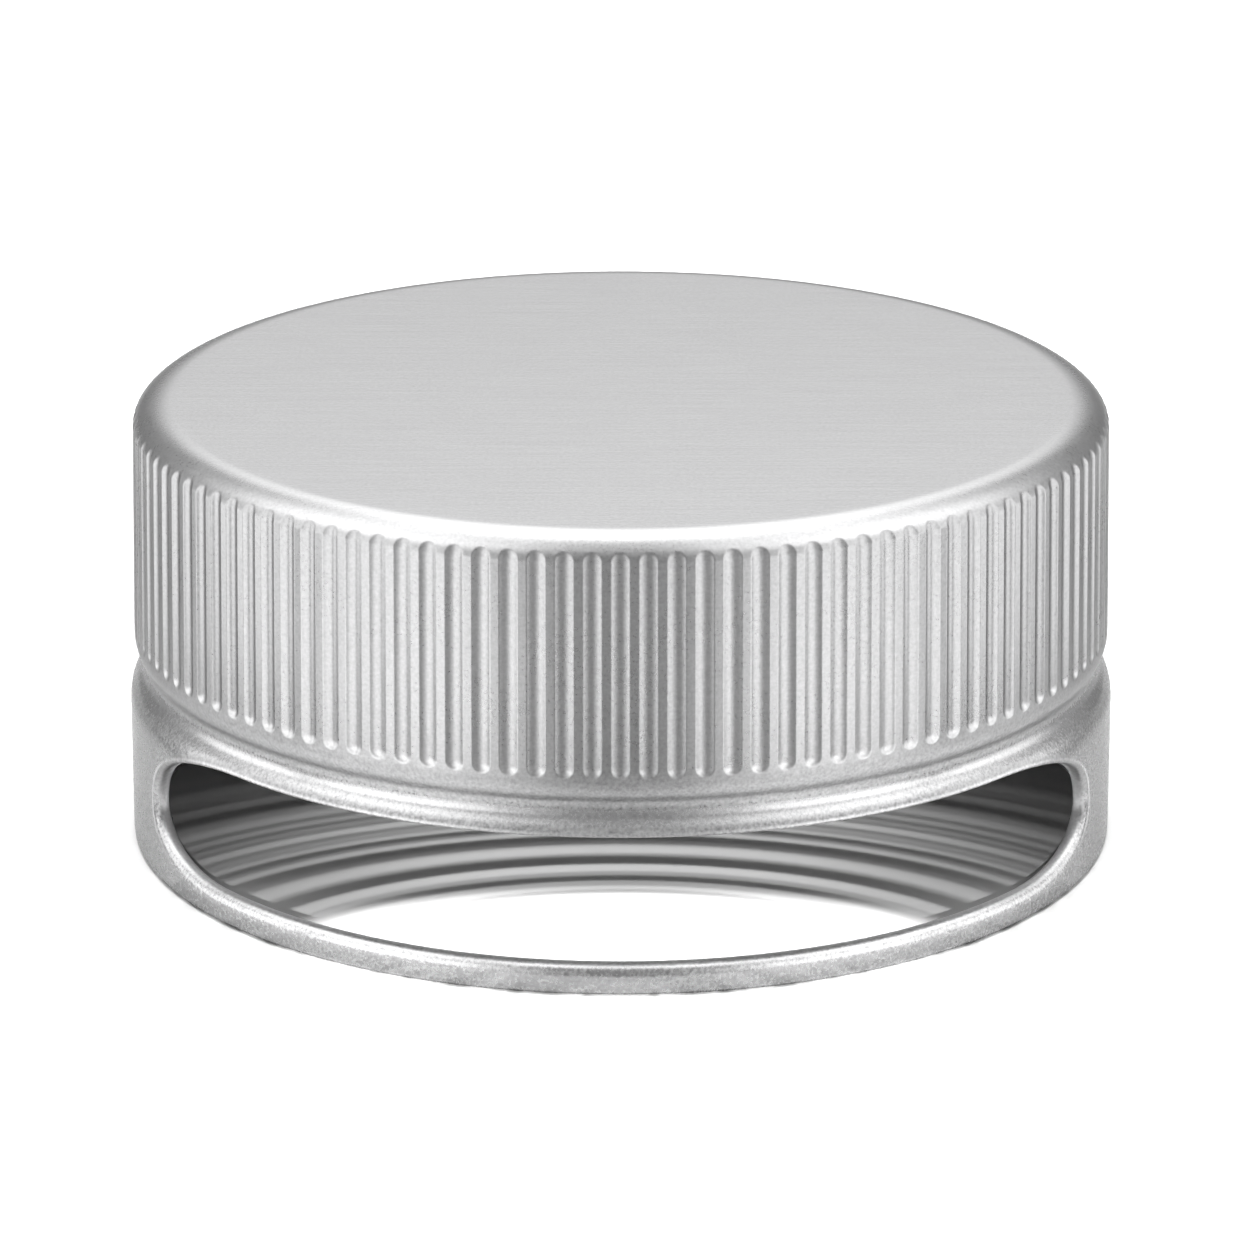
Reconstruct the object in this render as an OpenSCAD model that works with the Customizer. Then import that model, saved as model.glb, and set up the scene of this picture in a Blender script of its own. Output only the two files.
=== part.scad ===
// Screw cap in one piece of aluminium, with a fluted grip, a waist groove
// and a windowed skirt that ends in a thin rail.
//
// The cap stands on its rim with its mouth down. The origin is the centre of
// the mouth, +Z is up through the top disc, and the window faces -Y.

/* [Bore and walls] */
// Inside diameter under the grip, where the neck goes
bore_d = 36; // [28:0.5:60]
// Wall between the bore and the outside of the grip, at the grip's top
grip_wall = 0.68; // [0.55:0.01:1.2]
// How much the radius of the grip grows from its top to its foot
grip_spread = 0.13; // [0:0.01:0.3]
// How far the skirt stands out past the foot of the grip
skirt_step = 0.19; // [0.05:0.01:0.4]
// Wall of the skirt
skirt_wall = 0.65; // [0.5:0.01:0.95]
// Thickness of the top disc
top_t = 0.8; // [0.5:0.05:1.5]
// Overall height
cap_h = 17.3; // [14:0.1:26]

/* [Top edge] */
// Width of the rounded shoulder, measured inward from the grip
shoulder_w = 1.55; // [0.8:0.05:2.5]
// Height of the rounded shoulder
shoulder_h = 0.95; // [0.6:0.05:1.6]
// Radius of the corner inside, between the bore and the top disc
corner_r = 0.4; // [0.1:0.05:0.8]

/* [Grip flutes] */
// Number of flutes round the grip
flute_count = 116; // [60:1:130]
// Width of one flute at the surface
flute_w = 0.56; // [0.3:0.01:0.62]
// Depth of one flute
flute_depth = 0.18; // [0.08:0.01:0.22]
// From the top of the cap down to the upper end of the flutes
flute_top_gap = 0.8; // [0.5:0.05:2]
// From the middle of the waist up to the lower end of the flutes
flute_foot_gap = 1.4; // [1.2:0.05:3]

/* [Waist groove] */
// Height of the middle of the waist over the rim
waist_z = 7.05; // [6.4:0.05:9]
// Depth of the waist, measured from the foot of the grip
waist_depth = 0.39; // [0.2:0.01:0.42]
// Radius of the hollow at the bottom of the waist
waist_r = 0.7; // [0.4:0.05:1]
// Radius of the grip's rounded foot over the waist
foot_r = 1.2; // [0.6:0.05:1.5]
// Radius of the skirt's rounded shoulder under the waist
skirt_shoulder_r = 1.5; // [1:0.05:2]

/* [Window] */
// Height of the rail that is left under the window
rail_h = 1.2; // [0.8:0.05:1.8]
// Height of the strip that is left from the window up to the middle of the waist
strip_h = 0.95; // [0.7:0.05:1.4]
// Angle from the middle of the window to each of its tips
window_half_angle = 68.8; // [30:0.1:80]
// Length of the window's rounded ends
window_end_w = 6.4; // [2:0.1:8]
// Height of the window's tips over the rim
window_tip_z = 3.1; // [2.6:0.05:4]

/* [Skirt inside] */
// Radius of the rim's two edges
rim_r = 0.2; // [0.05:0.01:0.24]
// Height of one ridge inside the skirt
ridge_h = 0.14; // [0.05:0.01:0.2]
// Width of one ridge
ridge_w = 0.5; // [0.3:0.01:0.56]
// Distance from one ridge to the next
ridge_pitch = 0.62; // [0.58:0.01:1]
// Height of the lowest ridge over the rim
ridge_foot_z = 0.5; // [0.46:0.01:0.7]
// Number of ridges below the plain hollow
low_ridge_count = 2; // [1:1:2]
// Height of the plain hollow between the low ridges and the rest
hollow_h = 0.5; // [0.3:0.05:1]

/* [Hidden] */

// Smoothness of the turned body, and steps in one rounded stretch of its outline
$fn = 180;
arc_steps = 8;
ridge_steps = 4;
// Sides of a flute's cutter
flute_fn = 16;
// Steps round the window's rounded end
end_steps = 24;
// How far a cutter runs past the wall
past = 1;
// From the top of the window up to where the bore opens out
step_gap = 0.1;

// Radii of the turned body
bore_r = bore_d / 2;
grip_top_r = bore_r + grip_wall;
grip_foot_r = grip_top_r + grip_spread;
waist_floor_r = grip_foot_r - waist_depth;
skirt_r = grip_foot_r + skirt_step;
skirt_in_r = skirt_r - skirt_wall;

// Heights of the turned body
shoulder_z = cap_h - shoulder_h;
ceiling_z = cap_h - top_t;
window_z = rail_h;
window_top_z = waist_z - strip_h;

// Centres of the three arcs that roll the grip's foot into the skirt's shoulder
waist_c = [waist_floor_r + waist_r, waist_z];
foot_c = [
    grip_foot_r - foot_r,
    waist_z + arc_rise(waist_floor_r + waist_r - grip_foot_r + foot_r, waist_r + foot_r)
];
skirt_c = [
    skirt_r - skirt_shoulder_r,
    waist_z - arc_rise(waist_floor_r + waist_r - skirt_r + skirt_shoulder_r, waist_r + skirt_shoulder_r)
];
foot_turn = atan2(foot_c[1] - waist_c[1], waist_c[0] - foot_c[0]);
skirt_turn = atan2(waist_c[1] - skirt_c[1], waist_c[0] - skirt_c[0]);

// The bore opens out to the skirt behind the skirt's shoulder
step_low_z = window_top_z + step_gap;
step_high_z = step_low_z + skirt_in_r - bore_r;

// Flutes: the cutter's radius from its width and depth, and its lean along the grip
flute_r = (flute_w * flute_w / 4 + flute_depth * flute_depth) / (2 * flute_depth);
flute_lean = atan(grip_spread / (shoulder_z - foot_c[1]));
flute_foot_z = waist_z + flute_foot_gap + flute_w / 2;
flute_top_z = cap_h - flute_top_gap - flute_w / 2;

// Ridges inside the skirt
high_ridge_z = ridge_foot_z + low_ridge_count * ridge_pitch + hollow_h;
high_ridge_count = floor((step_low_z - ridge_w / 2 - high_ridge_z) / ridge_pitch) + 1;
ridge_zs = [
    each [for (i = [0 : low_ridge_count - 1]) ridge_foot_z + i * ridge_pitch],
    each [for (i = [0 : high_ridge_count - 1]) high_ridge_z + i * ridge_pitch]
];

// Where the rounded ends of the window begin
window_end_angle = window_half_angle - atan(window_end_w / skirt_r);

// Height between the centres of two touching arcs that lie a run apart
function arc_rise(run, reach) = sqrt(reach * reach - run * run);

// Points along an arc or a quarter of an ellipse
function arc(centre, rx, rz, from, to) = [
    for (i = [0 : arc_steps])
        let (a = from + (to - from) * i / arc_steps)
        centre + [rx * cos(a), rz * sin(a)]
];

// Outside radius of the grip at a height
function grip_r(z) = grip_top_r + grip_spread * (shoulder_z - z) / (shoulder_z - foot_c[1]);

// Outside of the body, from the rim up to the axis
function outside() = concat(
    arc([skirt_r - rim_r, rim_r], rim_r, rim_r, -90, 0),
    arc(skirt_c, skirt_shoulder_r, skirt_shoulder_r, 0, skirt_turn),
    arc(waist_c, waist_r, waist_r, 180 + skirt_turn, 180 - foot_turn),
    arc(foot_c, foot_r, foot_r, -foot_turn, 0),
    arc([grip_top_r - shoulder_w, shoulder_z], shoulder_w, shoulder_h, 0, 90),
    [[0, cap_h]]
);

// One ridge, from its upper side down to its lower side
function ridge(z) = [
    for (i = [0 : ridge_steps])
        let (u = i / ridge_steps - 1 / 2)
        [skirt_in_r - ridge_h * pow(cos(180 * u), 2), z - u * ridge_w]
];

// Inside of the body, from the axis down to the rim
function inside() = concat(
    [[0, ceiling_z]],
    arc([bore_r - corner_r, ceiling_z - corner_r], corner_r, corner_r, 90, 0),
    [[bore_r, step_high_z], [skirt_in_r, step_low_z]],
    [for (i = [len(ridge_zs) - 1 : -1 : 0]) each ridge(ridge_zs[i])],
    arc([skirt_in_r + rim_r, rim_r], rim_r, rim_r, 180, 270)
);

// The turned body, before the flutes and the window are cut
module turned_body() {
    rotate_extrude()
        polygon(concat(outside(), inside()));
}

// One flute: a round-ended groove that leans with the grip's wall
module flute_cutter() {
    length = flute_top_z - flute_foot_z;
    translate([grip_r(flute_foot_z) - flute_depth + flute_r, 0, flute_foot_z])
        rotate([0, -flute_lean, 0]) {
            cylinder(h = length, r = flute_r, $fn = flute_fn);
            sphere(r = flute_r, $fn = flute_fn);
            translate([0, 0, length])
                sphere(r = flute_r, $fn = flute_fn);
        }
}

// Outline of the window's end: an egg whose widest point is at the tip's height
module end_outline(width) {
    polygon([
        for (i = [0 : end_steps - 1])
            let (a = 360 * i / end_steps)
            let (reach = sin(a) > 0 ? window_top_z - window_tip_z : window_tip_z - window_z)
            [width * cos(a), reach * sin(a)]
    ]);
}

// The window: an arc of even height with an end plug on either side, cut radially
module window_cutter() {
    near_r = skirt_in_r - ridge_h - past;
    far_r = skirt_r + past;
    rotate([0, 0, -90 - window_end_angle])
        rotate_extrude(angle = 2 * window_end_angle)
            translate([near_r, window_z])
                square([far_r - near_r, window_top_z - window_z]);
    widening = [far_r / near_r, 1];
    for (side = [-1, 1])
        rotate([0, 0, side * window_end_angle])
            translate([0, -near_r, window_tip_z])
                rotate([90, 0, 0])
                    linear_extrude(height = far_r - near_r, scale = widening, slices = 1, $fn = end_steps)
                        end_outline(window_end_w * near_r / skirt_r);
}

module cap() {
    color("silver")
        difference() {
            turned_body();
            window_cutter();
            for (i = [0 : flute_count - 1])
                rotate([0, 0, 360 * i / flute_count])
                    flute_cutter();
        }
}

cap();
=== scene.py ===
import math

import bmesh
import bpy
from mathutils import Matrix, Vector


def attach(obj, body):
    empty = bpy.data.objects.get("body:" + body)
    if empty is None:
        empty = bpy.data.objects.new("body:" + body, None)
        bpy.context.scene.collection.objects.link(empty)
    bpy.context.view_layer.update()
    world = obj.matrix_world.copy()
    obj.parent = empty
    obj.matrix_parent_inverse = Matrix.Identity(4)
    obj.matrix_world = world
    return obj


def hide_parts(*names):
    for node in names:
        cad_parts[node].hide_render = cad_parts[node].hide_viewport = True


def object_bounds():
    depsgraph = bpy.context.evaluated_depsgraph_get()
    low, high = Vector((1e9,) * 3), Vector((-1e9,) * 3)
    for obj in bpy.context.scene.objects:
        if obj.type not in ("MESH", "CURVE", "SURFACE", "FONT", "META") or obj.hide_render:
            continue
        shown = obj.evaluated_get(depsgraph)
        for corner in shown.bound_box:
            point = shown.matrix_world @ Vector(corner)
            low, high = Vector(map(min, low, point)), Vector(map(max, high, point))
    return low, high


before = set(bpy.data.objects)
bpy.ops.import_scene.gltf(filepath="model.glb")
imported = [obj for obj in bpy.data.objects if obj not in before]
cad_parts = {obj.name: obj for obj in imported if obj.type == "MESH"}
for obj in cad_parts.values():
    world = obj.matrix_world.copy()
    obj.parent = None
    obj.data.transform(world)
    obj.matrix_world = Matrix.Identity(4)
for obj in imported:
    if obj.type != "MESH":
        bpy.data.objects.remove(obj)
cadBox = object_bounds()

mm = 0.001
print("frame loaded, CAD box", [tuple(round(v / mm, 2) for v in corner) for corner in cadBox])

# sizes of the turned body in millimetres, as the solid has them; only the rim is rounder here
body = {
    "height": cadBox[1].z / mm,
    "skirtRadius": cadBox[1].x / mm,
    "skirtStep": 0.19,
    "skirtWall": 0.65,
    "gripSpread": 0.13,
    "gripWall": 0.68,
    "topThickness": 0.8,
    "shoulderWidth": 1.55,
    "shoulderHeight": 0.95,
    "cornerRadius": 0.4,
    "waistHeight": 7.05,
    "waistDepth": 0.39,
    "waistRadius": 0.7,
    "footRadius": 1.2,
    "skirtShoulderRadius": 1.5,
    "rimRadius": 0.3,
}
body["footR"] = body["skirtRadius"] - body["skirtStep"]
body["gripTopR"] = body["footR"] - body["gripSpread"]
body["boreR"] = body["gripTopR"] - body["gripWall"]
body["skirtInR"] = body["skirtRadius"] - body["skirtWall"]
body["shoulderZ"] = body["height"] - body["shoulderHeight"]
body["ceilingZ"] = body["height"] - body["topThickness"]

# the window through the skirt, in millimetres and degrees
window = {
    "foot": 1.2,
    "top": 6.1,
    "tip": 3.1,
    "halfAngle": 68.8,
    "upperWidth": 7.2,    # length of the round end over the tip
    "lowerWidth": 5.6,    # and under it
    "outerLip": {"top": 0.1, "side": 0.32, "foot": 0.46},
    "innerLip": {"top": 0.08, "side": 0.28, "foot": 0.16},
    "edgeColumn": 62.8,   # angle where the side of the window takes over from its top and foot
    "easeColumns": 18,    # columns over which the grid relaxes again beside the window
    "stepGap": 0.1,       # from the window's top up to where the inside narrows to the bore
}
endTurn = math.atan(window["upperWidth"] / body["skirtRadius"])
window["endAngle"] = window["halfAngle"] - math.degrees(endTurn)

# what the Geometry Nodes press and cut into the blank, in millimetres
pressing = {
    "Flute Count": 116,
    "Flute Depth": 0.107,
    "Flute Edge": 0.34,
    "Flute Top": 16.46,
    "Flute Foot": 8.68,
    "Ridge Height": 0.14,
    "Ridge Width": 0.5,
    "Ridge Pitch": 0.62,
    "Low Ridge": 0.5,
    "High Ridge": 2.24,
    "Thread Depth": 0.22,
    "Thread Pitch": 1.0,
    "Thread Foot": 7.6,
    "Thread Top": 14.4,
}

# how many columns and rows the mesh gets, and where some of them lie in millimetres
grid = {
    "plainColumns": 2 * pressing["Flute Count"],
    "fluteSteps": [0, 0.07, 0.14, 0.2, 0.254, 0.3, 0.34, 0.375],  # half a flute's columns, from its middle
    "sharedStep": 0.254,  # the one of them that lies on a plain column
    "fluteEndRows": 9,
    "fluteMiddleRows": 4,
    "fluteMargin": 0.03,  # how far the fine columns run past a flute's ends
    "fluteSeam": 0.04,    # height of the faces that join fine columns to plain ones
    "waistSeam": 0.05,    # from the last row over the middle of the waist to the first row of the skirt
    "windowRows": 50,
    "aboveRows": 10,
    "belowRows": 8,
    "arcSteps": 8,
    "lipSteps": 6,
    "innerLipSteps": 3,
    "insideRise": 0.1,    # the skirt's rows begin this much higher inside than outside
    "threadRows": 60,
    "threadMargin": 0.25,
    "discRings": (0.5, 4, 8, 12, 15),
    "ceilingRings": (12, 6, 1),
    "edgeRing": 0.25,     # from a flat's round edge to its last ring
}


def arcRise(run, reach):
    return math.sqrt(reach * reach - run * run)


# centres of the three arcs that roll the grip's foot into the skirt's shoulder
waistFloor = body["footR"] - body["waistDepth"]
waistCentre = (waistFloor + body["waistRadius"], body["waistHeight"])
footCentre = (
    body["footR"] - body["footRadius"],
    body["waistHeight"] + arcRise(waistCentre[0] - body["footR"] + body["footRadius"],
                                  body["waistRadius"] + body["footRadius"]),
)
skirtCentre = (
    body["skirtRadius"] - body["skirtShoulderRadius"],
    body["waistHeight"] - arcRise(waistCentre[0] - body["skirtRadius"] + body["skirtShoulderRadius"],
                                  body["waistRadius"] + body["skirtShoulderRadius"]),
)


def touchHeight(centre, radius):
    # height where an outer arc meets the hollow of the waist
    share = radius / (radius + body["waistRadius"])
    return centre[1] + (waistCentre[1] - centre[1]) * share


footTouch = touchHeight(footCentre, body["footRadius"])
skirtTouch = touchHeight(skirtCentre, body["skirtShoulderRadius"])


def outerRadius(z):
    # radius of the outside at a height, from the rim's edge up to the shoulder
    if z <= skirtCentre[1]:
        return body["skirtRadius"]
    if z <= skirtTouch:
        return skirtCentre[0] + arcRise(z - skirtCentre[1], body["skirtShoulderRadius"])
    if z <= footTouch:
        return waistCentre[0] - arcRise(z - waistCentre[1], body["waistRadius"])
    if z <= footCentre[1]:
        return footCentre[0] + arcRise(z - footCentre[1], body["footRadius"])
    climb = (z - footCentre[1]) / (body["shoulderZ"] - footCentre[1])
    return body["footR"] - body["gripSpread"] * min(climb, 1)


def gripRadius(z):
    # radius of the outside at a height, from the grip's foot up over the shoulder
    over = max(z - body["shoulderZ"], 0) / body["shoulderHeight"]
    return outerRadius(z) - body["shoulderWidth"] * (1 - math.sqrt(1 - over * over))


stepLow = window["top"] + window["stepGap"]


def innerRadius(z):
    # radius of the inside at a height, from the rim's edge up to the corner under the top
    if z <= stepLow:
        return body["skirtInR"]
    return max(body["skirtInR"] - (z - stepLow), body["boreR"])


def spread(start, end, count):
    return [start + (end - start) * i / count for i in range(count + 1)]


def quarterTurn(steps):
    return spread(0, math.pi / 2, steps)


def lipAt(lip, isUpper, rise):
    # width of a lip where the outline's rise is a share of the full one
    return lip["side"] + (lip["top" if isUpper else "foot"] - lip["side"]) * rise * rise


def edgePoint(angle, isUpper, lip, grow):
    # height of the window's upper or lower edge at an angle, and its rise, for a lip grown by a share
    width = window["upperWidth" if isUpper else "lowerWidth"]
    run = body["skirtRadius"] * math.tan(math.radians(max(abs(angle) - window["endAngle"], 0)))
    run = max(run - window["upperWidth"] + width, 0)
    rise = math.sqrt(1 - (run / (width + lip["side"] * grow)) ** 2)
    if isUpper:
        return window["tip"] + (window["top"] - window["tip"] + lip["top"] * grow) * rise, rise
    return window["tip"] - (window["tip"] - window["foot"] + lip["foot"] * grow) * rise, rise


def sidePoint(share, lip, grow):
    # angle, height and rise on the window's round end; share runs from its upper to its lower corner
    start = window["upperWidth"] - window["upperWidth" if share < 0.5 else "lowerWidth"]
    width = window["upperWidth"] - start + lip["side"] * grow
    run = body["skirtRadius"] * math.tan(math.radians(window["edgeAngle"] - window["endAngle"])) - start
    turn = math.acos(run / width) * (1 - 2 * share)
    past = math.degrees(math.atan((start + width * math.cos(turn)) / body["skirtRadius"]))
    if turn > 0:
        reach = window["top"] - window["tip"] + lip["top"] * grow
    else:
        reach = window["tip"] - window["foot"] + lip["foot"] * grow
    return window["endAngle"] + past, window["tip"] + reach * math.sin(turn), math.sin(turn)


plain = grid["plainColumns"]
columnAngles = [-180 + (i + 0.5) * 360 / plain for i in range(plain)]
leftEdge = min(range(plain), key=lambda i: abs(columnAngles[i] + window["edgeColumn"]))
rightEdge = plain - 1 - leftEdge
window["edgeAngle"] = columnAngles[rightEdge]


def fineAngles():
    # columns of the fluted wall, closer together where a flute's sides are
    count = pressing["Flute Count"]
    half = math.pi * body["gripTopR"] / count
    steps = grid["fluteSteps"]
    offsets = [-s for s in reversed(steps[1:])] + steps + [half]
    toAngle = 180 / (count * half)
    # the plain columns lie a quarter of a flute's pitch to either side of its middle
    quarter = 90 / count
    exact = [math.copysign(quarter, s) if abs(s) == grid["sharedStep"] else s * toAngle for s in offsets]
    pitch = 360 / count
    return [-180 + pitch * (k + 1) + a for k in range(count) for a in exact]


def easeFrom(column):
    # 1 beside the window, falling smoothly to 0 a few columns away
    away = max(leftEdge - column, column - rightEdge, 0)
    share = min(away / window["easeColumns"], 1)
    return 1 - share * share * (3 - 2 * share)


def skirtPoint(column, zone, row, lip, heights):
    # angle and height of a vertex near the window: the rows bend round its outline
    angle = columnAngles[column]
    z = heights[zone][row]
    ease = easeFrom(column)
    side = 1 if angle > 0 else -1
    edge = min(abs(angle), window["edgeAngle"])
    share = row / (len(heights[zone]) - 1)
    if zone == "above":
        return angle, z + share * ease * (edgePoint(edge, True, lip, 1)[0] - heights["above"][-1])
    if zone == "below":
        return angle, z + (1 - share) * ease * (edgePoint(edge, False, lip, 1)[0] - heights["below"][0])
    endAngle, endZ, _ = sidePoint(share, lip, 1)
    return angle + side * ease * (endAngle - window["edgeAngle"]), z + ease * (endZ - z)


def skirtHeights(top, lip):
    upper, lower = window["top"] + lip["top"], window["foot"] - lip["foot"]
    return {
        "above": spread(top, upper, grid["aboveRows"]),
        "beside": spread(upper, lower, grid["windowRows"]),
        "below": spread(lower, body["rimRadius"], grid["belowRows"]),
    }


class Shell:
    # gathers vertices row by row and joins each row to the one before it
    def __init__(self):
        self.points = []
        self.faces = []

    def point(self, radius, angle, z):
        a = math.radians(angle)
        self.points.append((radius * math.sin(a) * mm, -radius * math.cos(a) * mm, z * mm))
        return len(self.points) - 1

    def ring(self, radius, z, angles=columnAngles):
        return [self.point(radius, a, z) for a in angles]

    def fan(self, z, row):
        centre = self.point(0, 0, z)
        for i in range(len(row)):
            self.faces.append((centre, row[i], row[(i + 1) % len(row)]))

    def join(self, upper, lower, gap=()):
        # gap holds the columns that the window takes away
        count = len(upper)
        for i in range(count):
            if i not in gap:
                n = (i + 1) % count
                self.faces.append((upper[i], lower[i], lower[n], upper[n]))

    def follow(self, last, rows):
        # joins row after row to the last one and gives back the new last one
        for row in rows:
            self.join(last, row)
            last = row
        return last

    def joinFine(self, coarse, fine, places):
        # places[i] is the fine column that lies on coarse column i
        for i in range(len(coarse)):
            n = (i + 1) % len(coarse)
            first, last = places[i], places[n]
            if last < first:
                last += len(fine)
            run = [fine[k % len(fine)] for k in range(first, last + 1)]
            self.faces.append((coarse[i], *run, coarse[n]))


# heights where the fine columns of the fluted wall begin and end
fineTop = pressing["Flute Top"] + pressing["Flute Edge"] + grid["fluteMargin"]
fineFoot = pressing["Flute Foot"] - pressing["Flute Edge"] - grid["fluteMargin"]


def addTop(shell):
    # top disc and shoulder, from the axis outward
    inset = body["gripTopR"] - body["shoulderWidth"]
    rings = [shell.ring(r, body["height"]) for r in (*grid["discRings"], inset - grid["edgeRing"])]
    shell.fan(body["height"], rings[0])
    turnEnd = math.asin((fineTop + grid["fluteSeam"] - body["shoulderZ"]) / body["shoulderHeight"])
    for turn in spread(math.pi / 2, turnEnd, 2 * grid["arcSteps"]):
        rings.append(shell.ring(inset + body["shoulderWidth"] * math.cos(turn),
                                body["shoulderZ"] + body["shoulderHeight"] * math.sin(turn)))
    return shell.follow(rings[0], rings[1:])


def addGrip(shell, last):
    # fluted wall in fine columns, and one plain row under it
    fine = fineAngles()
    places = [min(range(len(fine)), key=lambda k: abs(fine[k] - a)) for a in columnAngles]
    seam = grid["fluteSeam"]
    topEnd = spread(fineTop, pressing["Flute Top"] - seam, grid["fluteEndRows"])
    footEnd = spread(pressing["Flute Foot"] + seam, fineFoot, grid["fluteEndRows"])
    middle = spread(topEnd[-1], footEnd[0], grid["fluteMiddleRows"])[1:-1]
    wall = [shell.ring(gripRadius(z), z, fine) for z in topEnd + middle + footEnd]
    shell.joinFine(last, wall[0], places)
    shell.follow(wall[0], wall[1:])
    below = shell.ring(gripRadius(fineFoot - seam), fineFoot - seam)
    shell.joinFine(below, wall[-1], places)
    return below


def addWaist(shell, last):
    # foot of the grip and upper half of the waist
    top, foot = fineFoot - 2 * grid["fluteSeam"], waistCentre[1] + grid["waistSeam"]
    heights = spread(top, foot, 2 * grid["arcSteps"])
    return shell.follow(last, (shell.ring(outerRadius(z), z) for z in heights))


def addSkirtRows(shell, heights, lip, radiusAt, start):
    # rows of one side of the skirt, from its top to its foot, with the window left open
    rows = []
    for zone in ("above", "beside", "below"):
        lastRow = len(heights[zone]) - 1
        for row in range(0 if zone == "above" else 1, lastRow + 1):
            ring = []
            for column in range(plain):
                spot = (zone, row)
                if zone == "beside" and row < lastRow and leftEdge < column < rightEdge:
                    ring.append(None)
                    continue
                if zone == "beside" and row == lastRow and leftEdge <= column <= rightEdge:
                    spot = ("below", 0)
                angle, z = skirtPoint(column, *spot, lip, heights)
                ring.append(shell.point(radiusAt(z), angle, z))
            rows.append(ring)
    gap = range(leftEdge, rightEdge)
    first = grid["aboveRows"]
    last = first + grid["windowRows"]
    if start:
        shell.join(start, rows[0])
    for k in range(1, len(rows)):
        shell.join(rows[k - 1], rows[k], gap if first < k <= last else ())
    loop = rows[first][leftEdge:rightEdge + 1]
    loop += [rows[k][rightEdge] for k in range(first + 1, last)]
    loop += list(reversed(rows[last][leftEdge:rightEdge + 1]))
    loop += [rows[k][leftEdge] for k in range(last - 1, first, -1)]
    return rows, loop


def addRim(shell, last, radius, outward):
    # a quarter round from one side of the skirt down to the rim
    rim = body["rimRadius"]
    for turn in quarterTurn(grid["lipSteps"])[1:]:
        inset = rim * (1 - math.cos(turn)) * outward
        last = shell.follow(last, [shell.ring(radius - inset, rim - rim * math.sin(turn))])
    return last


def addSkirt(shell, last):
    # both sides of the skirt, each down to the rim; the bore goes on from the top row inside
    outerLip, innerLip = window["outerLip"], window["innerLip"]
    heights = skirtHeights(waistCentre[1], outerLip)
    outside, outerLoop = addSkirtRows(shell, heights, outerLip, outerRadius, last)
    outerRim = addRim(shell, outside[-1], body["skirtRadius"], 1)
    heights = skirtHeights(waistCentre[1] + grid["insideRise"], innerLip)
    inside, innerLoop = addSkirtRows(shell, heights, innerLip, innerRadius, None)
    innerRim = addRim(shell, inside[-1], body["skirtInR"], -1)
    shell.join(outerRim, innerRim)
    return inside[0], outerLoop, innerLoop


def addBore(shell, last):
    # bore, corner and ceiling
    corner, ceiling, margin = body["cornerRadius"], body["ceilingZ"], grid["threadMargin"]
    foot, top = pressing["Thread Foot"] - margin, pressing["Thread Top"] + margin
    heights = spread(foot, top, grid["threadRows"]) + [ceiling - corner]
    last = shell.follow(last, (shell.ring(body["boreR"], z) for z in heights))
    centre = body["boreR"] - corner
    for turn in quarterTurn(grid["arcSteps"])[1:]:
        ring = shell.ring(centre + corner * math.cos(turn), ceiling - corner + corner * math.sin(turn))
        last = shell.follow(last, [ring])
    radii = (centre - grid["edgeRing"], *grid["ceilingRings"])
    last = shell.follow(last, (shell.ring(r, ceiling) for r in radii))
    shell.fan(ceiling, last)


def lipLoop(shell, lip, grow, radiusAt, sink):
    # one loop of the window's cut edge, in the same order as the loops of the skirt
    columns = range(leftEdge, rightEdge + 1)
    side = [sidePoint(r / grid["windowRows"], lip, grow) for r in range(1, grid["windowRows"])]
    spots = [(columnAngles[c], *edgePoint(columnAngles[c], True, lip, grow)) for c in columns]
    spots += side
    spots += [(columnAngles[c], *edgePoint(columnAngles[c], False, lip, grow)) for c in reversed(columns)]
    spots += [(-a, z, rise) for a, z, rise in reversed(side)]
    return [
        shell.point(radiusAt(z) + sink * lipAt(lip, z > window["tip"], rise), a, z)
        for a, z, rise in spots
    ]


def addWindowEdge(shell, outerLoop, innerLoop):
    # the window's cut edge: a round outer lip, the wall, and a small inner lip
    last = outerLoop
    for turn in quarterTurn(grid["lipSteps"])[1:]:
        grow, sink = 1 - math.sin(turn), math.cos(turn) - 1
        last = shell.follow(last, [lipLoop(shell, window["outerLip"], grow, outerRadius, sink)])
    for turn in quarterTurn(grid["innerLipSteps"])[:-1]:
        grow, sink = 1 - math.cos(turn), 1 - math.sin(turn)
        last = shell.follow(last, [lipLoop(shell, window["innerLip"], grow, innerRadius, sink)])
    shell.join(last, innerLoop)


def buildBlank():
    # the turned body with its window, before anything is pressed into it
    shell = Shell()
    waist = addWaist(shell, addGrip(shell, addTop(shell)))
    insideTop, outerLoop, innerLoop = addSkirt(shell, waist)
    addBore(shell, insideTop)
    addWindowEdge(shell, outerLoop, innerLoop)

    mesh = bpy.data.meshes.new("capBlank")
    mesh.from_pydata(shell.points, [], shell.faces)
    work = bmesh.new()
    work.from_mesh(mesh)
    bmesh.ops.recalc_face_normals(work, faces=work.faces)
    openEdges = sum(1 for e in work.edges if not e.is_manifold)
    work.to_mesh(mesh)
    work.free()
    mesh.shade_smooth()
    print("blank turned:", len(mesh.vertices), "points,", openEdges, "open edges")
    blank = bpy.data.objects.new("cap_blank", mesh)
    bpy.context.collection.objects.link(blank)
    return blank


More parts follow.
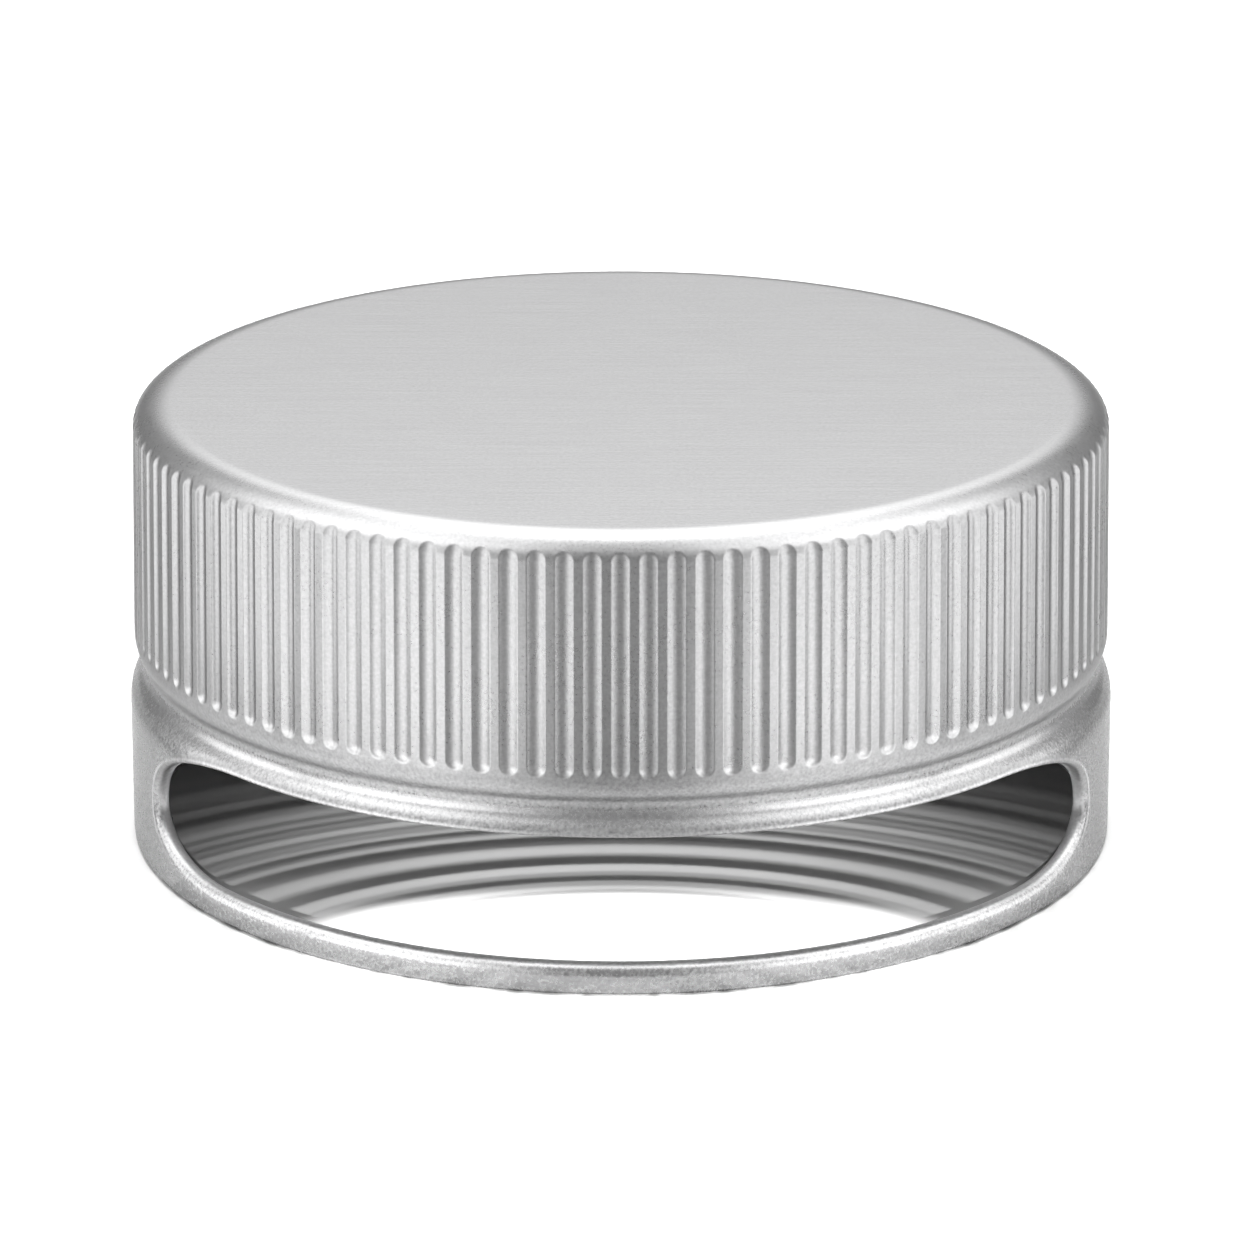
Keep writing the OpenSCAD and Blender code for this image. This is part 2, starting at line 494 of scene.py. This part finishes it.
class Wire:
    # a node's socket that can be added, multiplied and compared like a number
    def __init__(self, graph, socket):
        self.graph = graph
        self.socket = socket

    def maths(self, operation, *others):
        return self.graph.maths(operation, self, *others)

    def __add__(self, other):
        return self.maths("ADD", other)

    def __sub__(self, other):
        return self.maths("SUBTRACT", other)

    def __rsub__(self, other):
        return self.graph.maths("SUBTRACT", other, self)

    def __mul__(self, other):
        return self.maths("MULTIPLY", other)

    def __truediv__(self, other):
        return self.maths("DIVIDE", other)

    def __gt__(self, other):
        return self.maths("GREATER_THAN", other)

    def __lt__(self, other):
        return self.maths("LESS_THAN", other)

    def __abs__(self):
        return self.maths("ABSOLUTE")

    __radd__ = __add__
    __rmul__ = __mul__


class Graph:
    # makes nodes in one tree: type, settings, then what goes into the sockets
    def __init__(self, tree):
        self.tree = tree

    def node(self, kind, settings=None, sockets=None):
        made = self.tree.nodes.new(kind)
        for name, setting in (settings or {}).items():
            setattr(made, name, setting)
        for name, given in (sockets or {}).items():
            socket = made.inputs[name]
            if isinstance(given, Wire):
                self.tree.links.new(given.socket, socket)
            else:
                socket.default_value = given
        return {s.name: Wire(self, s) for s in made.outputs if s.enabled}

    def maths(self, operation, *values):
        return self.node("ShaderNodeMath", {"operation": operation}, dict(enumerate(values)))["Value"]

    def axes(self, vector):
        return self.node("ShaderNodeSeparateXYZ", None, {"Vector": vector}).values()

    def scaled(self, vector, scale):
        sockets = {"Vector": vector, "Scale": scale}
        return self.node("ShaderNodeVectorMath", {"operation": "SCALE"}, sockets)["Vector"]


def smoothStep(wire, low, high):
    # 0 under low, 1 over high
    return wire.graph.node(
        "ShaderNodeMapRange", {"interpolation_type": "SMOOTHSTEP"},
        {"Value": wire, "From Min": low, "From Max": high},
    )["Result"]


def smoothFall(wire, low, high):
    # 1 under low, 0 over high
    return 1 - smoothStep(wire, low, high)


def reachOf(first, second):
    # length of a vector from two of its parts
    return (first * first + second * second).maths("SQRT")


def windowGap(x, y, z):
    # millimetres from the window's outline, measured along the skirt, and how level the outline is there
    past = (abs(x.maths("ARCTAN2", y * -1)) - math.radians(window["endAngle"])).maths("MAXIMUM", 0)
    isUpper = z > window["tip"]
    width = window["lowerWidth"] + isUpper * (window["upperWidth"] - window["lowerWidth"])
    height = window["tip"] - window["foot"] + isUpper * (window["top"] + window["foot"] - 2 * window["tip"])
    run = past.maths("TANGENT") * body["skirtRadius"] - window["upperWidth"] + width
    across = run.maths("MAXIMUM", 0) / width
    along = abs(z - window["tip"]) / height
    size = reachOf(across, along)
    slope = ((across / width).maths("POWER", 2) + (along / height).maths("POWER", 2)).maths("SQRT")
    # the tangent turns round behind the cap, so all that is over a radian past the window counts as far
    behind = (past > 1) * 9
    return (size - 1) * size / slope + behind, along / size


# how the pressed forms end, in millimetres
forming = {
    "onWall": 0.01,               # a vertex this near to a wall's radius lies on it
    "ridgeFade": (0.25, 0.55),    # distances from the window where the ridges begin and are full
    "threadFlank": (0.25, 0.75),  # shares of half a pitch where a flank begins and ends
    "threadRun": (0.2, 0.4),      # how far the thread fades past its ends and before them
}


def pressingTree(material):
    tree = bpy.data.node_groups.new("pressFlutesAndThread", "GeometryNodeTree")
    tree.interface.new_socket("Geometry", in_out="INPUT", socket_type="NodeSocketGeometry")
    ids = {}
    for name in pressing:
        kind = "NodeSocketInt" if name.endswith("Count") else "NodeSocketFloat"
        ids[name] = tree.interface.new_socket(name, in_out="INPUT", socket_type=kind).identifier
    tree.interface.new_socket("Geometry", in_out="OUTPUT", socket_type="NodeSocketGeometry")
    graph = Graph(tree)
    given = graph.node("NodeGroupInput")
    x, y, z = [axis / mm for axis in graph.axes(graph.node("GeometryNodeInputPosition")["Position"])]
    radius = reachOf(x, y)
    turn = y.maths("ARCTAN2", x) / math.tau

    # flutes: distance to the middle line of the nearest one, with round ends
    lane = turn * given["Flute Count"]
    across = (lane - lane.maths("ROUND")) / given["Flute Count"] * math.tau * radius
    beyond = (z - given["Flute Top"]).maths("MAXIMUM", 0) + (given["Flute Foot"] - z).maths("MAXIMUM", 0)
    outside = radius > (body["boreR"] + body["gripWall"] / 2)
    slope = reachOf(across, beyond) / given["Flute Edge"]
    groove = (1 - slope * slope).maths("MAXIMUM", 0) * outside
    move = groove * given["Flute Depth"] * -1

    # level ridges inside the skirt, in a low run and a high one that meet in one smaller ridge
    def ridges(first):
        step = (z - first) / given["Ridge Pitch"]
        away = abs(step - step.maths("ROUND")) * given["Ridge Pitch"] / given["Ridge Width"]
        swell = (away.maths("MINIMUM", 0.5) * math.pi).maths("COSINE")
        return swell * swell

    meeting = (body["rimRadius"] + window["tip"]) / 2
    low = ridges(given["Low Ridge"]) * (z < meeting) * (z > body["rimRadius"])
    high = ridges(given["High Ridge"]) * (z > meeting) * (z < stepLow)
    inSkirt = abs(radius - body["skirtInR"]) < forming["onWall"]
    # they die out just before the window's edge
    shown = smoothStep(windowGap(x, y, z)[0], *forming["ridgeFade"])
    move = move - (low + high) * inSkirt * shown * given["Ridge Height"]

    # fine screw thread, cut outward into the bore
    winding = z / given["Thread Pitch"] + turn
    form = abs(winding - winding.maths("ROUND")) * 2
    past, before = forming["threadRun"]
    runIn = smoothStep(z, given["Thread Foot"] - past, given["Thread Foot"] + before)
    runOut = smoothFall(z, given["Thread Top"] - before, given["Thread Top"] + past)
    inBore = abs(radius - body["boreR"]) < forming["onWall"]
    cut = smoothStep(form, *forming["threadFlank"]) * runIn * runOut * inBore
    move = (move + cut * given["Thread Depth"]) * mm

    outward = graph.node("ShaderNodeCombineXYZ", None, {"X": x / radius, "Y": y / radius})["Vector"]
    pressed = graph.node(
        "GeometryNodeSetPosition", None,
        {"Geometry": given["Geometry"], "Offset": graph.scaled(outward, move)},
    )
    solid = graph.node("GeometryNodeRealizeInstances", None, {"Geometry": pressed["Geometry"]})
    done = graph.node(
        "GeometryNodeSetMaterial", None, {"Geometry": solid["Geometry"], "Material": material}
    )
    graph.node("NodeGroupOutput", None, {"Geometry": done["Geometry"]})
    return tree, ids


def bake(piece, tree, ids, name):
    # runs the pressing once and keeps its mesh
    modifier = piece.modifiers.new("pressing", "NODES")
    modifier.node_group = tree
    for key, size in pressing.items():
        modifier[ids[key]] = size
    evaluated = piece.evaluated_get(bpy.context.evaluated_depsgraph_get())
    mesh = bpy.data.meshes.new_from_object(evaluated)
    mesh.name = name
    made = bpy.data.objects.new(name, mesh)
    bpy.context.collection.objects.link(made)
    bpy.data.objects.remove(piece)
    mesh.shade_smooth()
    return made


# satin aluminium: colour, gloss and grain, in millimetres; tone and rough say how much a thing changes
# the colour and the roughness
aluminium = {
    "grey": (0.41, 0.41, 0.413),
    "grazing": 0.6,
    "roughness": 0.26,
    "grain": {"size": 0.12, "detail": 2, "tone": 1.15, "rough": 0.2, "depth": 0.0028},
    "cloud": {"size": 2.5, "detail": 3, "tone": 0.05, "rough": 0.06},
    "brushed": {"size": 0.12, "detail": 2, "stretch": (0.02, 1, 1), "tone": 0.14, "depth": 0.3},
    "calm": {"grip": 0.62, "rolled": 0.45},    # how much weaker the grain is there
    "grip": {"rise": 2, "rough": 0.03},
    # painted shade: the grip's front is darker down its middle
    "middle": {"reach": (1, 4), "tone": 0.14},
    "waist": {"start": (6.9, 7.4), "end": (8.1, 8.7), "rough": 0.13},
    # painted light: the cut face of the skirt's wall is lighter, and it is rougher
    "cutEdge": {"ramp": (0.02, 0.08), "rough": 0.35},    # inward and outward from the skirt's inner face
    "faceEdge": 0.1,    # the inside fades out within the skirt's wall, this far from either face
    "discEdge": 0.2,    # how far under the top the disc begins
}
# marks round the window, in millimetres: painted highlights, painted shade and changes of roughness; gap is
# the distance from the window's outline
marks = {
    "tip": {"level": (0.2, 0.9)},
    "rubbedHighlight": {"width": 0.1, "least": 0.1, "atTip": 2.6, "tone": 0.3, "rough": 0.1},
    "shade": {"lipShare": (0.55, 0.85), "least": 0.1, "lower": 0.4, "drop": 0.4},
    "crestHighlight": {"lipShare": 0.22, "width": 0.1, "reach": (1.5, 5.5), "tone": 0.9},
    "dullShadedBand": {"gap": (0.22, 0.42), "tone": 0.15, "rough": 0.2},
    "bandShade": {"start": (1, 4), "end": (10, 15), "tone": 0.22},    # more painted shade in that band, beside its middle
}


def windowMarks(x, y, z):
    # painted highlight along the rubbed lip, painted shade at the tips, painted highlight on the crest and
    # painted shade in the dull band, each as a share
    rubbedHighlight, shade, crestHighlight, dullShadedBand = marks["rubbedHighlight"], marks["shade"], marks["crestHighlight"], marks["dullShadedBand"]
    lip = window["outerLip"]
    gap, level = windowGap(x, y, z)
    isUpper = z > window["tip"]
    wider = lip["foot"] - lip["side"] + isUpper * (lip["top"] - lip["foot"])
    lipWidth = lip["side"] + level * level * wider
    atTip = smoothFall(level, *marks["tip"]["level"])

    # a painted highlight along the lip's outer edge, where the metal is also rubbed smoother, most of all
    # at the window's tips
    lineWeight = isUpper * level + atTip * rubbedHighlight["atTip"] + rubbedHighlight["least"]
    line = smoothFall(abs(gap - lipWidth), 0, rubbedHighlight["width"]) * lineWeight
    # inside that painted highlight, painted shade darkens the lip at the tips
    lower = smoothFall(z, window["tip"] - shade["drop"], window["tip"])
    tips = smoothFall(gap, *[lipWidth * share for share in shade["lipShare"]]) * atTip
    tips = tips * (shade["least"] + lower * shade["lower"])
    # a painted highlight along the middle of the rail lip's crest, near the window's middle
    crestShine = smoothFall(abs(gap - lip["foot"] * crestHighlight["lipShare"]), 0, crestHighlight["width"])
    crestShine = crestShine * (1 - isUpper) * level * smoothFall(abs(x), *crestHighlight["reach"])
    # a band along the strip over the window, darkened with painted shade and made rougher
    shadedBand = isUpper * level * smoothFall(gap, *dullShadedBand["gap"])
    return line, tips, crestShine, shadedBand


def makeAluminium():
    material = bpy.data.materials.new("satinAluminium")
    material.use_nodes = True
    material.node_tree.nodes.clear()
    graph = Graph(material.node_tree)
    place = graph.node("ShaderNodeTexCoord")["Object"]
    x, y, z = [axis / mm for axis in graph.axes(place)]

    def noise(kind):
        # size is the width of one speck
        speck = kind["size"] * mm
        scaled = graph.node(
            "ShaderNodeVectorMath", {"operation": "MULTIPLY"},
            {0: place, 1: tuple(s / speck for s in kind.get("stretch", (1, 1, 1)))},
        )["Vector"]
        sockets = {"Vector": scaled, "Scale": 1, "Detail": kind["detail"]}
        return graph.node("ShaderNodeTexNoise", None, sockets)["Fac"]

    # the parts of the cap, each as a share
    face, waist = aluminium["faceEdge"], aluminium["waist"]
    inward, outward = aluminium["cutEdge"]["ramp"]
    around = reachOf(x, y)
    inside = smoothFall(around, body["skirtInR"] + face, body["skirtRadius"] - face)
    onTop = smoothStep(z, body["height"] - aluminium["discEdge"], body["height"])
    onGrip = smoothStep(z, body["waistHeight"], body["waistHeight"] + aluminium["grip"]["rise"])
    inWaist = smoothStep(z, *waist["start"]) * smoothFall(z, *waist["end"])
    # painted shade down the middle of the grip's front
    middle = smoothFall(abs(x), *aluminium["middle"]["reach"]) * (y < 0) * onGrip * (1 - onTop)
    # painted light: the cut face of the skirt's wall is lighter, and rougher
    cutEdge = smoothStep(around, body["skirtInR"] - inward, body["skirtInR"] + outward)
    cutEdge = inside * cutEdge * (z < stepLow)
    rubbedHighlight, shaded, crestHighlight, dulledAndShaded = windowMarks(x, y, z)
    dulledAndShaded = dulledAndShaded * (1 - inside)
    bandShade = smoothStep(abs(x), *marks["bandShade"]["start"])
    bandShade = bandShade * smoothFall(abs(x), *marks["bandShade"]["end"])
    bandShade = bandShade * marks["bandShade"]["tone"] + marks["dullShadedBand"]["tone"]

    # the top disc is rolled smoother than the walls, and so is the inside
    calm = aluminium["calm"]
    rolled = (inside * (z < body["waistHeight"])).maths("MAXIMUM", onTop)
    plainness = (1 - onGrip * calm["grip"]) * (1 - rolled * calm["rolled"])
    grain = (noise(aluminium["grain"]) - 0.5) * plainness
    cloud = noise(aluminium["cloud"])
    brushed = noise(aluminium["brushed"])
    tone = (
        1 + rubbedHighlight * marks["rubbedHighlight"]["tone"] + crestHighlight * marks["crestHighlight"]["tone"] - dulledAndShaded * bandShade
        - middle * aluminium["middle"]["tone"] - shaded + grain * aluminium["grain"]["tone"]
        + (cloud - 0.5) * aluminium["cloud"]["tone"] + (brushed - 0.5) * aluminium["brushed"]["tone"]
        + cutEdge
    )
    rough = (
        aluminium["roughness"] + cutEdge * aluminium["cutEdge"]["rough"]
        + onGrip * (1 - onTop) * aluminium["grip"]["rough"] + inWaist * waist["rough"]
        + dulledAndShaded * marks["dullShadedBand"]["rough"] - rubbedHighlight.maths("MINIMUM", 1) * marks["rubbedHighlight"]["rough"]
        + grain * aluminium["grain"]["rough"] + (cloud - 0.5) * (1 - onTop) * aluminium["cloud"]["rough"]
    )
    height = (grain + brushed * aluminium["brushed"]["depth"]) * aluminium["grain"]["depth"] * mm
    bump = graph.node("ShaderNodeBump", None, {"Strength": 1.0, "Distance": 1.0, "Height": height})
    shader = graph.node(
        "ShaderNodeBsdfPrincipled", None,
        {
            "Base Color": graph.scaled(aluminium["grey"], tone), "Metallic": 1.0, "Roughness": rough,
            "Normal": bump["Normal"], "Specular Tint": (*[aluminium["grazing"]] * 3, 1),
        },
    )
    graph.node("ShaderNodeOutputMaterial", None, {"Surface": shader["BSDF"]})
    return material


metal = makeAluminium()
print("material made")
tree, ids = pressingTree(metal)
cap = bake(buildBlank(), tree, ids, "cap_body")
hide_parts("cap")
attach(cap, "root")
print("cap pressed:", len(cap.data.polygons), "faces")

# camera: distance and aim in radii of the skirt, focal length in pixels of the frame, clip in metres
shot = {
    "frame": 1254,
    "focal": 6370,
    "distance": 13,
    "elevation": 18.55,
    "aimHeight": 0.411,
    "aimSide": 0.0122,
    "sensor": 36,
    "clip": (0.01, 20),
}


def makeCamera():
    data = bpy.data.cameras.new("camera")
    data.sensor_width = shot["sensor"]
    data.lens = shot["focal"] / shot["frame"] * shot["sensor"]
    data.clip_start, data.clip_end = shot["clip"]
    camera = bpy.data.objects.new("camera", data)
    bpy.context.collection.objects.link(camera)
    radius = body["skirtRadius"] * mm
    lift = math.radians(shot["elevation"])
    back = Vector((0, -math.cos(lift), math.sin(lift)))
    aim = Vector((shot["aimSide"], 0, shot["aimHeight"])) * radius
    camera.location = aim + back * shot["distance"] * radius
    camera.rotation_euler = (-back).to_track_quat("-Z", "Y").to_euler()
    bpy.context.scene.camera = camera


makeCamera()
print("camera set")

# the soft studio round the cap: light is radiance, turns are degrees away from the front, and lifts are
# degrees above the level. It is darker in front, and bright above the sides and the back
studio = {
    "front": {"light": 0.5},
    "frontHigh": {"light": 0.4, "lift": (45, 80)},
    "sides": {"light": 0.3, "turn": (8, 78), "endTurn": (105, 145)},
    "wall": {"light": 1.05, "turn": (12, 55), "endTurn": (70, 130), "endLift": (24, 40)},
    "canopy": {"light": 2.2, "dip": 0.7, "dipLift": (58, 88), "eaves": 26, "softness": 22},
    "sideEaves": {"lower": 5, "turn": (70, 105)},
    "backEaves": {"higher": 9, "turn": (110, 160)},
    "backSoftness": {"more": 10, "turn": (70, 120)},
    "backGlow": {"light": 2.55, "turn": (156, 176), "lift": (4, 33), "endLift": (50, 72)},
}


def makeWorld():
    world = bpy.data.worlds.new("studio")
    bpy.context.scene.world = world
    world.use_nodes = True
    world.node_tree.nodes.clear()
    graph = Graph(world.node_tree)
    x, y, z = graph.axes(graph.node("ShaderNodeTexCoord")["Generated"])
    lift = z.maths("ARCSINE") * math.degrees(1)
    turn = abs(x.maths("ARCTAN2", y * -1)) * math.degrees(1)

    def rise(part, wire=turn, ramp="turn"):
        return smoothStep(wire, *studio[part][ramp])

    def fall(part, wire=turn, ramp="endTurn"):
        return smoothFall(wire, *studio[part][ramp])

    beside = rise("sides")
    eaves = studio["canopy"]["eaves"] - rise("sideEaves") * studio["sideEaves"]["lower"]
    eaves = eaves + rise("backEaves") * studio["backEaves"]["higher"]
    fullLift = eaves + studio["canopy"]["softness"] + rise("backSoftness") * studio["backSoftness"]["more"]
    dip = rise("canopy", lift, "dipLift") * studio["canopy"]["dip"]
    canopy = smoothStep(lift, eaves, fullLift) * (1 - dip)
    wall = rise("wall") * fall("wall") * fall("wall", lift, "endLift")
    frontHigh = (1 - beside) * rise("frontHigh", lift, "lift")
    backGlow = rise("backGlow") * rise("backGlow", lift, "lift") * fall("backGlow", lift, "endLift")
    light = (
        studio["front"]["light"] + beside * fall("sides") * studio["sides"]["light"]
        + wall * studio["wall"]["light"] + beside * canopy * studio["canopy"]["light"]
        + backGlow * studio["backGlow"]["light"] + frontHigh * studio["frontHigh"]["light"]
    )
    shine = graph.node("ShaderNodeBackground", None, {"Color": (1, 1, 1, 1), "Strength": light})
    graph.node("ShaderNodeOutputWorld", None, {"Surface": shine["Background"]})


# upright soft panels in front of the cap and beside it, turned to face it, in millimetres
panels = {
    "leftPanel": {"at": (-24.4, -29, 9.1), "size": (22, 15.8), "radiance": 1.35},
    "rightPanel": {"at": (24.4, -29, 9.1), "size": (22, 15.8), "radiance": 1.25},
    "leftSoftPanel": {"at": (-13.0, -38.4, 9.1), "size": (7.6, 15.8), "radiance": 0.5},
    "rightSoftPanel": {"at": (13.0, -38.4, 9.1), "size": (7.6, 15.8), "radiance": 0.45},
    "leftSidePanel": {"at": (-41, -8, 9.1), "size": (20, 15.8), "radiance": 1.3},
    "rightSidePanel": {"at": (41, -8, 9.1), "size": (20, 15.8), "radiance": 1.2},
}
# soft boxes over the floor: they light it but don't show in the metal
pools = {
    "nearPool": {"at": (0, 0, 35), "size": (60, 82), "spread": 60, "radiance": 3.4},
    "farPool": {"at": (0, 112, 35), "size": (120, 140), "spread": 60, "radiance": 3.4},
}


def makeLamp(name, look):
    # a rectangular lamp, looking down until it is turned, that the camera doesn't see
    data = bpy.data.lights.new(name, "AREA")
    data.shape = "RECTANGLE"
    data.size, data.size_y = [side * mm for side in look["size"]]
    data.energy = look["radiance"] * math.pi * data.size * data.size_y
    lamp = bpy.data.objects.new(name, data)
    lamp.location = Vector(look["at"]) * mm
    lamp.visible_camera = False
    bpy.context.collection.objects.link(lamp)
    return lamp


def makePanels():
    for name, panel in panels.items():
        lamp = makeLamp(name, panel)
        lamp.visible_diffuse = False
        away = Vector((*panel["at"][:2], 0)).normalized()
        lamp.rotation_euler = away.to_track_quat("Z", "Y").to_euler()


def makePools():
    for name, pool in pools.items():
        lamp = makeLamp(name, pool)
        lamp.data.spread = math.radians(pool["spread"])
        lamp.visible_glossy = False


# low beams through the window onto the floor; across and along are the half sizes of their pool of light
beams = {
    "windowBeam": {"aim": (0, -13.4, 0), "elevation": 29, "across": 12.9, "along": 5.0, "edge": 0.12,
                   "power": 9, "lampRadius": 0.5},
    "insideBeam": {"aim": (0, -19, 0), "elevation": 18.5, "across": 30, "along": 24, "edge": 0.3,
                   "power": 6, "lampRadius": 0.03,
                   "bands": {"width": 0.9, "ramp": (0.32, 0.68), "least": 0.07,
                             "fade": (0.1, 0.62), "fadeBy": 0.78}},
}
beamDistance = 150
coneMargin = 1.1    # how much wider a lamp's cone is than its pool of light


def bandsOf(graph, bands, away, across, along):
    # arcs of light on the floor, which stand for what a ridged wall would throw there
    noise = graph.node(
        "ShaderNodeTexNoise", {"noise_dimensions": "1D"},
        {"W": away * along / bands["width"], "Scale": 1, "Detail": 1, "Roughness": 0.5},
    )["Fac"]
    arcs = smoothStep(noise, *bands["ramp"]) * (1 - bands["least"]) + bands["least"]
    return arcs * (1 - smoothStep(abs(across), *bands["fade"]) * bands["fadeBy"])


def makeBeams():
    for name, beam in beams.items():
        lift = math.radians(beam["elevation"])
        data = bpy.data.lights.new(name, "SPOT")
        data.energy = beam["power"]
        data.shadow_soft_size = beam["lampRadius"] * mm
        data.spot_size = 2 * coneMargin * math.atan(beam["across"] / beamDistance)
        data.spot_blend = 0
        data.use_nodes = True
        data.node_tree.nodes.clear()
        graph = Graph(data.node_tree)
        x, y, z = graph.axes(graph.node("ShaderNodeTexCoord")["Normal"])
        across = x / z * beamDistance / beam["across"]
        along = y / z * beamDistance / (beam["along"] * math.sin(lift))
        away = reachOf(across, along)
        light = smoothFall(away, 1 - beam["edge"], 1)
        if "bands" in beam:
            light = light * bandsOf(graph, beam["bands"], away, across, beam["along"])
        shine = graph.node("ShaderNodeEmission", None, {"Strength": light})
        graph.node("ShaderNodeOutputLight", None, {"Surface": shine["Emission"]})
        lamp = bpy.data.objects.new(name, data)
        back = Vector((0, -math.cos(lift), math.sin(lift)))
        lamp.location = (Vector(beam["aim"]) + back * beamDistance) * mm
        lamp.rotation_euler = back.to_track_quat("Z", "Y").to_euler()
        lamp.visible_camera = False
        lamp.visible_glossy = False
        bpy.context.collection.objects.link(lamp)


def makeSheet(name, materialName, look, alphaOf):
    # a level sheet whose alpha comes out of its own graph
    (left, front), (right, back) = [[side * mm for side in corner] for corner in look["corners"]]
    z = look["height"] * mm
    corners = [(left, front, z), (right, front, z), (right, back, z), (left, back, z)]
    mesh = bpy.data.meshes.new(name)
    mesh.from_pydata(corners, [], [(0, 1, 2, 3)])
    sheet = bpy.data.objects.new(name, mesh)
    bpy.context.collection.objects.link(sheet)
    material = bpy.data.materials.new(materialName)
    material.use_nodes = True
    shader = material.node_tree.nodes["Principled BSDF"]
    shader.inputs["Base Color"].default_value = (*[look["grey"]] * 3, 1)
    shader.inputs["Roughness"].default_value = look["roughness"]
    alpha = alphaOf(Graph(material.node_tree))
    material.node_tree.links.new(alpha.socket, shader.inputs["Alpha"])
    mesh.materials.append(material)
    return sheet


# a dark grey card on the floor before the cap, seen only in the metal as a painted dark reflection: its
# middle keeps the middle of the waist dark, and it has a ring further out and a narrow hem along the
# skirt's foot
card = {
    "corners": ((-45, -62), (45, -8)), "height": 0.05, "grey": 0.02, "roughness": 0.5,
    "middle": (0, -35), "reach": (18, 22), "soft": (0.2, 1), "cover": 0.75,
    "ring": 35.5, "ringEdge": (1.5, 4), "ringFront": (8, 15), "ringCover": 0.85,
    "hem": (19.7, 20.3), "hemCover": 0.28,
}


def cardCover(graph):
    x, y, _ = graph.axes(graph.node("ShaderNodeTexCoord")["Object"])
    x, y = x / mm, y / mm
    across = (x - card["middle"][0]) / card["reach"][0]
    along = (y - card["middle"][1]) / card["reach"][1]
    radius = reachOf(x, y)
    middle = smoothFall(reachOf(across, along), *card["soft"]) * card["cover"]
    ring = smoothFall(abs(radius - card["ring"]), *card["ringEdge"]) * card["ringCover"]
    ring = ring * smoothStep(y * -1, *card["ringFront"])
    hem = smoothFall(radius, *card["hem"]) * (radius > body["skirtRadius"]) * card["hemCover"]
    return middle.maths("MAXIMUM", ring).maths("MAXIMUM", hem)


def makeCard():
    sheet = makeSheet("card", "greyCard", card, cardCover)
    for ray in ("camera", "diffuse", "transmission", "shadow"):
        setattr(sheet, "visible_" + ray, False)


floorLook = {"corners": ((-4000, -4000), (4000, 4000)), "height": 0, "grey": 0.33, "roughness": 0.8}


def clearBelow(graph):
    # seen from below the floor is clear, so that the mouth of the cap shows
    return 1 - graph.node("ShaderNodeNewGeometry")["Backfacing"]


def makeFloor():
    floor = makeSheet("floor", "paleFloor", floorLook, clearBelow)


makeWorld()
makePanels()
makeCard()
makePools()
makeBeams()
makeFloor()
bpy.context.scene.view_settings.view_transform = "Standard"
print("studio lit")
